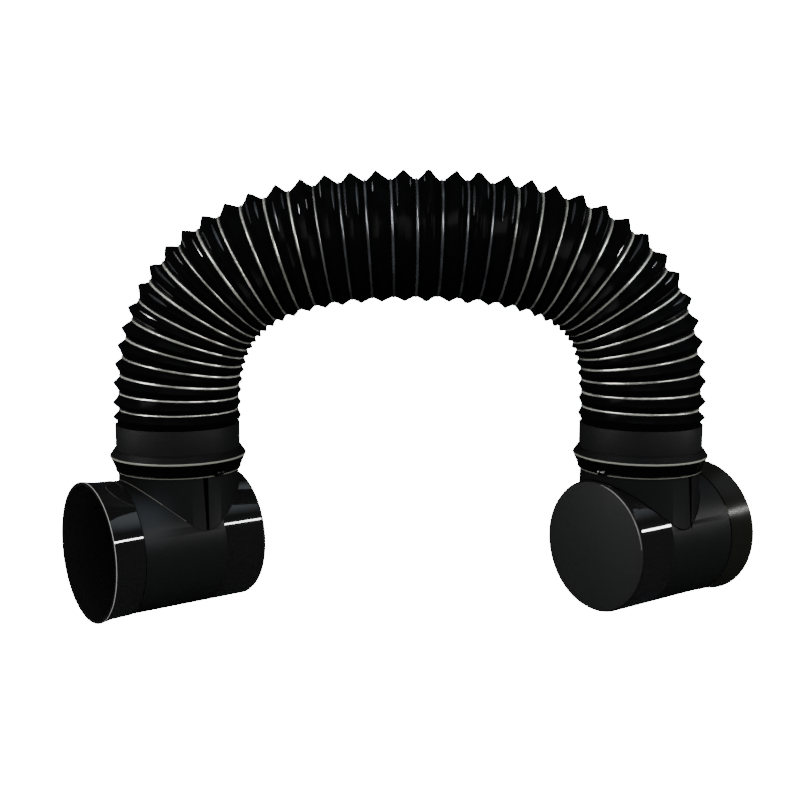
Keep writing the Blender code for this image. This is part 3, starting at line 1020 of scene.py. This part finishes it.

# %% [markdown]
# The cuffs, discs and ring cones are satin, and the rings and the tees' ends are glossy.
# Some edges show as thin pale lines, which are painted highlights. In the photograph they
# are clean and even, so they are finishes of their own, not an edge-wear mask. The left
# bolt is duller than the right one, as it is there: its finish is a darker copy, painted shade.

# %% Finishes of the other pieces
SATIN_GRAIN, MOULDED_GRAIN, GLOSS_GRAIN = (1400, 0.00002), (1200, 0.00002), (1200, 0.000002)
BAND_GRAIN, EDGE_LINE_GRAIN, FINE_GRAIN = (500, 0.00001), (700, 0.00002), (900, 0.00001)
sleeve = plastic("satin_sleeve", (0.0043, 0.0043, 0.0045), (0.46, 0.54), SATIN_GRAIN, level=0.06)
# The cone is darker than the sleeve to offset the light it catches from above: painted shade.
cone = plastic("satin_cone_painted_shade", (0.0022, 0.0022, 0.0023), (0.46, 0.54), SATIN_GRAIN, level=0.04)
disc = plastic("satin_disc", (0.0085, 0.0085, 0.0087), (0.50, 0.58), SATIN_GRAIN, level=0.07)
band = plastic("gloss_band", (0.0012, 0.0012, 0.0012), (0.08, 0.12), BAND_GRAIN, level=0.01)
# The next two pale finishes are painted highlights on edges, rims and a seam.
edge = plastic("edge_painted_highlight", (0.11, 0.11, 0.094), (0.30, 0.40), EDGE_LINE_GRAIN)
rim = plastic("rim_painted_highlight", (0.42, 0.42, 0.40), (0.30, 0.40), EDGE_LINE_GRAIN)
gloss = plastic("tee_gloss", (0.0092, 0.0092, 0.0093), (0.03, 0.05), GLOSS_GRAIN)
satin = plastic("tee_satin", (0.0092, 0.0094, 0.0094), (0.40, 0.46), MOULDED_GRAIN, level=0.07)
# The right socket is rougher, and its lighter olive colour is a painted highlight tint.
socket_painted_tint = plastic("rough_socket_painted_tint", (0.0105, 0.0105, 0.0085), (0.20, 0.24), MOULDED_GRAIN,
                 level=0.06)
# The pale line at the branch's foot and its dimmer part are painted highlights.
weld = plastic("weld_line", (0.12, 0.12, 0.11), (0.30, 0.36), FINE_GRAIN)
dim_painted_highlight = plastic("weld_dim_painted_highlight", (0.045, 0.045, 0.043), (0.30, 0.36), FINE_GRAIN)
plated = plastic("plated_steel", (0.07, 0.07, 0.07), (0.22, 0.34), FINE_GRAIN, metal=1.0)
# The left bolt's darker copy of the plated finish is painted shade.
plated_painted_shade = plastic("plated_painted_shade_steel", (0.012, 0.012, 0.012), (0.34, 0.44), FINE_GRAIN,
                      metal=1.0)
print(len(bpy.data.materials), "materials in the file")

# %% [markdown]
# The left tee's saddle has a soft bluish highlight. A lamp alone could give it, but that
# lamp would light the branch too, so part of it is a painted highlight: a lighter patch
# in the satin finish.

# %% Painted highlight on the left saddle
PAINTED_HIGHLIGHT_CENTRE, PAINTED_HIGHLIGHT_REACH = (-0.2124, -0.0655, 0.0920), 0.032


def painted_highlight_patch(material, centre, reach, colour):
    """A soft lighter patch round one point: a painted highlight."""
    tree = material.node_tree
    base = tree.nodes["Principled BSDF"].inputs["Base Color"]
    apart = tree.nodes.new("ShaderNodeVectorMath")
    apart.operation = "DISTANCE"
    tree.links.new(tree.nodes["Texture Coordinate"].outputs["Object"], apart.inputs[0])
    apart.inputs[1].default_value = centre
    share = remap(tree, apart.outputs["Value"], 0.0, reach)
    tree.links.new(mixed_colour(tree, share, colour, base.default_value[:3]), base)


painted_highlight_patch(satin, PAINTED_HIGHLIGHT_CENTRE, PAINTED_HIGHLIGHT_REACH, (0.026, 0.030, 0.035))
print("haze within", PAINTED_HIGHLIGHT_REACH, "m of", PAINTED_HIGHLIGHT_CENTRE)

# %% [markdown]
# ## Zones
# One piece can have more than one finish, as a moulding has polished and matt faces. The
# pieces could be cut apart for it, but it is enough to give some faces another slot. They
# are found by their place: near a leg's axis for the rings, and in the tee's own axes,
# with the run along X, for the tees and caps.

# %% Mark faces by their place
def finish(piece, material):
    """The piece's first slot, and the slot of every face that has no other."""
    if len(piece.data.materials):
        piece.data.materials[0] = material
    else:
        piece.data.materials.append(material)


def mark(piece, material, place_of, test):
    """Adds the material and gives it to the faces whose place and normal pass the test."""
    piece.data.materials.append(material)
    slot = len(piece.data.materials) - 1
    chosen = [face for face in piece.data.polygons if test(place_of(face.center), face.normal)]
    for face in chosen:
        face.material_index = slot
    print(piece.name, material.name, len(chosen), "faces")


for piece, material in ((cuff_left, sleeve), (cuff_right, sleeve), (cap_left, disc),
                        (cap_right, disc), (bolt_left, plated_painted_shade), (bolt_right, plated)):
    finish(piece, material)

# %% [markdown]
# A ring's crest and lower lip show as thin light lines, which are painted highlights, and the
# cone above the crest is satin, darker than the cuff's sleeve: painted shade. A mask could draw
# the lines, but the crest is a narrow flat with a small round on each side, so those faces take
# the pale finish whole.

# %% Zones of the clamp rings
CREST_LINE_BAND, LIP_LINE_INSET = 0.0004, 0.0012
CONE_SKIN = 0.0002


def from_leg(foot_x):
    """Gives a point's distance from the leg's axis, and its height."""
    return lambda point: (math.hypot(point.x - foot_x, point.y), point.z)


def crest_or_lip(place, normal):
    radius, z = place
    lip = z < RING_LOW_Z + RING_LIP_HEIGHT / 2 and radius > LOW_BORE + LIP_LINE_INSET
    return radius > RING_CREST_RADIUS - CREST_LINE_BAND or lip


def upper_cone(place, normal):
    radius, z = place
    outside = radius > CUFF_RADIUS + GAP + CONE_SKIN
    return z > RING_CREST_Z + 2 * RING_CREST_HALF and outside and normal.z > 0


for clamp, foot_x in ((ring_left, -LEG_SPACING / 2), (ring_right, LEG_SPACING / 2)):
    finish(clamp, band)
    mark(clamp, edge, from_leg(foot_x), crest_or_lip)
    mark(clamp, cone, from_leg(foot_x), upper_cone)

# %% [markdown]
# On a tee the saddle round the branch is satin, both ends of the run are glossy, the
# groove is as black as the film, which is painted shade, and the open mouth has a pale rim,
# which is a painted highlight. A mask could mark them too, but the turned section has a
# point at each border, so whole faces are picked.

# %% Zones of both tees
WALL_SKIN, OFF_RUN = 0.0015, 0.001
RIM_LENGTH, RIM_WIDTH = 0.0006, 0.0009
GROOVE_SKIN, GROOVE_SUNK = 0.0003, 0.0016
GROOVE_FACES_LOW, GROOVE_FACES_OVER = 0.020, 0.001


def in_tee(foot, turn):
    """Gives a point's place in the tee's own axes."""
    back, centre = Matrix.Rotation(-turn, 3, "Z"), Vector(foot)
    return lambda point: back @ (point - centre)


def saddle(place, normal):
    across = math.hypot(place.y, place.z)
    on_run = SADDLE_EDGE < place.x < RUN_OPEN_LENGTH and across > RUN_RADIUS - WALL_SKIN
    return on_run or across > RUN_RADIUS + OFF_RUN and place.x < RUN_OPEN_LENGTH


def groove(place, normal):
    widened = 1 + BRANCH_FOOT / BRANCH_RADIUS * max(0.0, 1 - place.z / BRANCH_NECK)
    radius = math.hypot(place.x, place.y / widened)
    sunk = BRANCH_RADIUS - GROOVE_SUNK < radius < BRANCH_RADIUS - GROOVE_SKIN
    return sunk and GROOVE_FACES_LOW < place.z < RING_LOW_Z - MOUTH_RADIUS + GROOVE_FACES_OVER


def mouth_rim(place, normal):
    return place.x > RUN_OPEN_LENGTH + SOCKET_LENGTH - RIM_LENGTH and \
        math.hypot(place.y, place.z) > MOUTH_RADIUS - RIM_WIDTH


in_left_tee, in_right_tee = in_tee(LEFT_FOOT, LEFT_TURN), in_tee(RIGHT_FOOT, RIGHT_TURN)
for tee, place_of in ((tee_left, in_left_tee), (tee_right, in_right_tee)):
    finish(tee, gloss)
    mark(tee, satin, place_of, saddle)
    mark(tee, film, place_of, groove)
    mark(tee, rim, place_of, mouth_rim)

# %% [markdown]
# The two sides also differ in the photograph. The right socket is rougher, with a painted
# olive tint, a painted glint on its seam and a dimmer painted highlight on its disc's edge.
# The left line at the branch's foot is a painted highlight: bright, then dimmer, then as dark
# as the saddle. The right one is as black as the ring.

# %% Zones of one side only
SEAM_MIDDLE, SEAM_REACH, SEAM_SKIN = 0.0005, 0.0007, 0.001
GLINT_LOW, GLINT_HIGH = 0.34, 0.52
CAP_FACE_DEPTH, CAP_RIM_WIDTH = 0.0011, 0.0005
CAP_EDGE_SIDE, CAP_EDGE_LOW = 0.12, 0.15
LINE_FADES, LINE_ENDS = -0.006, 0.014


def socket(place, normal):
    return place.x > RUN_OPEN_LENGTH and math.hypot(place.y, place.z) > RUN_RADIUS


def seam_glint(place, normal):
    near_seam = abs(place.x - RUN_OPEN_LENGTH + SEAM_MIDDLE) < SEAM_REACH and place.y < 0
    outside = math.hypot(place.y, place.z) > RUN_RADIUS - SEAM_SKIN
    return near_seam and outside and GLINT_LOW < place.z / RUN_RADIUS < GLINT_HIGH


def cap_edge(place, normal):
    near_face = place.x < -RUN_CLOSED_LENGTH - GAP - CAP_FACE_DEPTH
    rim_band = math.hypot(place.y, place.z) > RUN_RADIUS - CAP_INSET - CAP_RIM_WIDTH
    return near_face and rim_band and place.y < -CAP_EDGE_SIDE * RUN_RADIUS and \
        place.z > CAP_EDGE_LOW * RUN_RADIUS


def across_left_leg(point):
    return point.x + LEG_SPACING / 2


mark(tee_right, socket_painted_tint, in_right_tee, socket)
mark(tee_right, edge, in_right_tee, seam_glint)
mark(cap_right, dim_painted_highlight, in_right_tee, cap_edge)
finish(weld_left, weld)
mark(weld_left, dim_painted_highlight, across_left_leg, lambda x, normal: LINE_FADES < x < LINE_ENDS)
mark(weld_left, satin, across_left_leg, lambda x, normal: x >= LINE_ENDS)
finish(weld_right, band)

# %% [markdown]
# ## Floor
# The photograph is a product shot on plain white. A lit white floor would show grey
# shades and a horizon, so this one glows white to the camera and is hidden from mirrors.

# %% Floor
WHITE_TO_CAMERA = 20.0
bpy.ops.object.select_all(action="DESELECT")
bpy.ops.mesh.primitive_plane_add(size=8.0, location=(0.0, 0.0, 0.0))
floor = bpy.context.object
floor.name = "floor"
paper = bpy.data.materials.new("pale_floor")
paper.use_nodes = True
paper_shader = paper.node_tree.nodes["Principled BSDF"]
paper_shader.inputs["Base Color"].default_value = (0.92, 0.92, 0.92, 1.0)
paper_shader.inputs["Roughness"].default_value = 0.9
paper_shader.inputs["Specular IOR Level"].default_value = 0.0
paper_shader.inputs["Emission Color"].default_value = (1.0, 1.0, 1.0, 1.0)
seen_by = paper.node_tree.nodes.new("ShaderNodeLightPath")
glowing = paper.node_tree.nodes.new("ShaderNodeMath")
glowing.operation = "MULTIPLY"
glowing.inputs[1].default_value = WHITE_TO_CAMERA
paper.node_tree.links.new(seen_by.outputs["Is Camera Ray"], glowing.inputs[0])
paper.node_tree.links.new(glowing.outputs[0], paper_shader.inputs["Emission Strength"])
floor.data.materials.append(paper)
floor.visible_glossy = False
floor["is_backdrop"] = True
print("floor", tuple(round(v, 2) for v in floor.dimensions))

# %% [markdown]
# ## Lights
# Black gloss shows only what it mirrors, so the lights are placed for their reflections.
# One set could light everything, but the hose wants many soft glints and the tees only
# two narrow ones. So each lamp is linked to its pieces: five soft boxes light the hose,
# cuffs, rings, caps and bolts. The tees have two narrow strips, which are mirrored and
# light nothing, and one weak soft box.

# %% Soft boxes
HEART = Vector((0.0, 0.0, 0.19))


def direction(azimuth, elevation):
    """From the object outwards; azimuth 0 is the camera's side, + is right."""
    a, e = math.radians(azimuth), math.radians(elevation)
    return Vector((math.sin(a) * math.cos(e), -math.cos(a) * math.cos(e), math.sin(e)))


def area_light(name, size, energy, colour):
    data = bpy.data.lights.new(name, "AREA")
    data.shape = "RECTANGLE"
    data.size, data.size_y = size
    data.energy = energy
    data.color = colour
    lamp = bpy.data.objects.new(name, data)
    bpy.context.scene.collection.objects.link(lamp)
    return lamp


def softbox(name, azimuth, elevation, distance, size, power, colour=(1.0, 1.0, 1.0)):
    """An area light aimed at the object."""
    lamp = area_light(name, size, power, colour)
    away = direction(azimuth, elevation)
    lamp.location = HEART + away * distance
    lamp.rotation_euler = away.to_track_quat("Z", "Y").to_euler()
    return lamp


def only_for(lamp, pieces):
    """The lamp lights only these pieces, as a flag or a snoot does in a studio."""
    group = bpy.data.collections.new(lamp.name + "_lights")
    for piece in pieces:
        group.objects.link(piece)
    lamp.light_linking.receiver_collection = group
    print(lamp.name, "lights", len(pieces), "pieces")


tees = [tee_left, tee_right, weld_left, weld_right]
others = [hose, cuff_left, cuff_right, ring_left, ring_right, cap_left, cap_right,
          bolt_left, bolt_right]
for lamp in (
    softbox("box_left", -61, 33, 2.4, (1.1, 0.9), 60),
    softbox("box_right", 42, 27, 2.4, (0.9, 0.8), 42),
    softbox("side_left", -80, 12, 2.4, (0.7, 1.0), 30),
    softbox("side_right", 80, 12, 2.4, (0.7, 1.0), 30),
    softbox("top", 0, 68, 2.4, (1.6, 0.8), 18, (0.82, 0.92, 1.0)),
):
    only_for(lamp, others)


# %% Strips for the tees
TEE_MIDDLE = Vector((0.0, 0.0, 0.06))


def strip(name, start, end, thickness, radiance, colour=(1.0, 1.0, 1.0)):
    """A thin area light between two points that faces the tees and is only mirrored."""
    start, end = Vector(start), Vector(end)
    middle, along = (start + end) / 2, (end - start).normalized()
    away = middle - TEE_MIDDLE
    away = (away - along * away.dot(along)).normalized()
    length = (end - start).length
    lamp = area_light(name, (length, thickness), 0.0, colour)
    lamp.data.energy = radiance * math.pi * lamp.data.size * lamp.data.size_y
    lamp.location = middle
    lamp.rotation_euler = Matrix((along, away.cross(along), away)).transposed().to_euler()
    lamp.visible_diffuse = False
    return lamp


for lamp in (
    strip("tee_strip", (2.23, -1.58, 1.44), (3.09, -0.20, 1.03), 0.13, 120),
    strip("tee_strip_end", (3.09, -0.18, 1.03), (3.12, 0.45, 1.16), 0.16, 6, (0.95, 0.95, 0.80)),
    softbox("tee_front", -30, 30, 2.6, (1.2, 1.0), 3),
):
    only_for(lamp, tees)

# %% [markdown]
# ## Room
# The room is white to the camera, as the photograph's background is, and plain white to
# diffuse light. A mirror sees it nearly dark, apart from one soft bluish patch high up on
# the right. A dark cloth could stand there as a mesh, but the world does it with no object.

# %% Room
ROOM_GLOW, PATCH_GLOW = 0.015, 1.3
PATCH_TURN, PATCH_HEIGHT, PATCH_REACH = 95, 60, 32
world = bpy.data.worlds.new("room")
bpy.context.scene.world = world
world.use_nodes = True
room = world.node_tree
room.nodes.clear()


def background(strength, colour=(1.0, 1.0, 1.0)):
    node = room.nodes.new("ShaderNodeBackground")
    node.inputs["Color"].default_value = (*colour, 1.0)
    node.inputs["Strength"].default_value = strength
    return node


def mixed(switch, plain, other):
    node = room.nodes.new("ShaderNodeMixShader")
    room.links.new(switch, node.inputs["Fac"])
    room.links.new(plain.outputs[0], node.inputs[1])
    room.links.new(other.outputs[0], node.inputs[2])
    return node


where = room.nodes.new("ShaderNodeTexCoord")
towards = room.nodes.new("ShaderNodeVectorMath")
towards.operation = "DOT_PRODUCT"
towards.inputs[1].default_value = direction(PATCH_TURN, PATCH_HEIGHT)
room.links.new(where.outputs["Generated"], towards.inputs[0])
patch_edge = math.cos(math.radians(PATCH_REACH))
patch = remap(room, towards.outputs["Value"], patch_edge, 1.0, ROOM_GLOW, PATCH_GLOW)
mirrored = background(1.0, (0.80, 0.90, 1.0))
room.links.new(patch.outputs["Result"], mirrored.inputs["Strength"])
path = room.nodes.new("ShaderNodeLightPath")
dim = mixed(path.outputs["Is Glossy Ray"], background(1.0), mirrored)
bright = mixed(path.outputs["Is Camera Ray"], dim, background(WHITE_TO_CAMERA))
out = room.nodes.new("ShaderNodeOutputWorld")
room.links.new(bright.outputs[0], out.inputs["Surface"])
print("room", len(room.nodes), "nodes")

# %% [markdown]
# ## Bounds
# The box of the dressed model is printed beside the frame's.

# %% Sizes and finish
size = {
    "cad": [list(corner) for corner in cad_box],
    "visual": [list(corner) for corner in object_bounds()],
}
print(size)
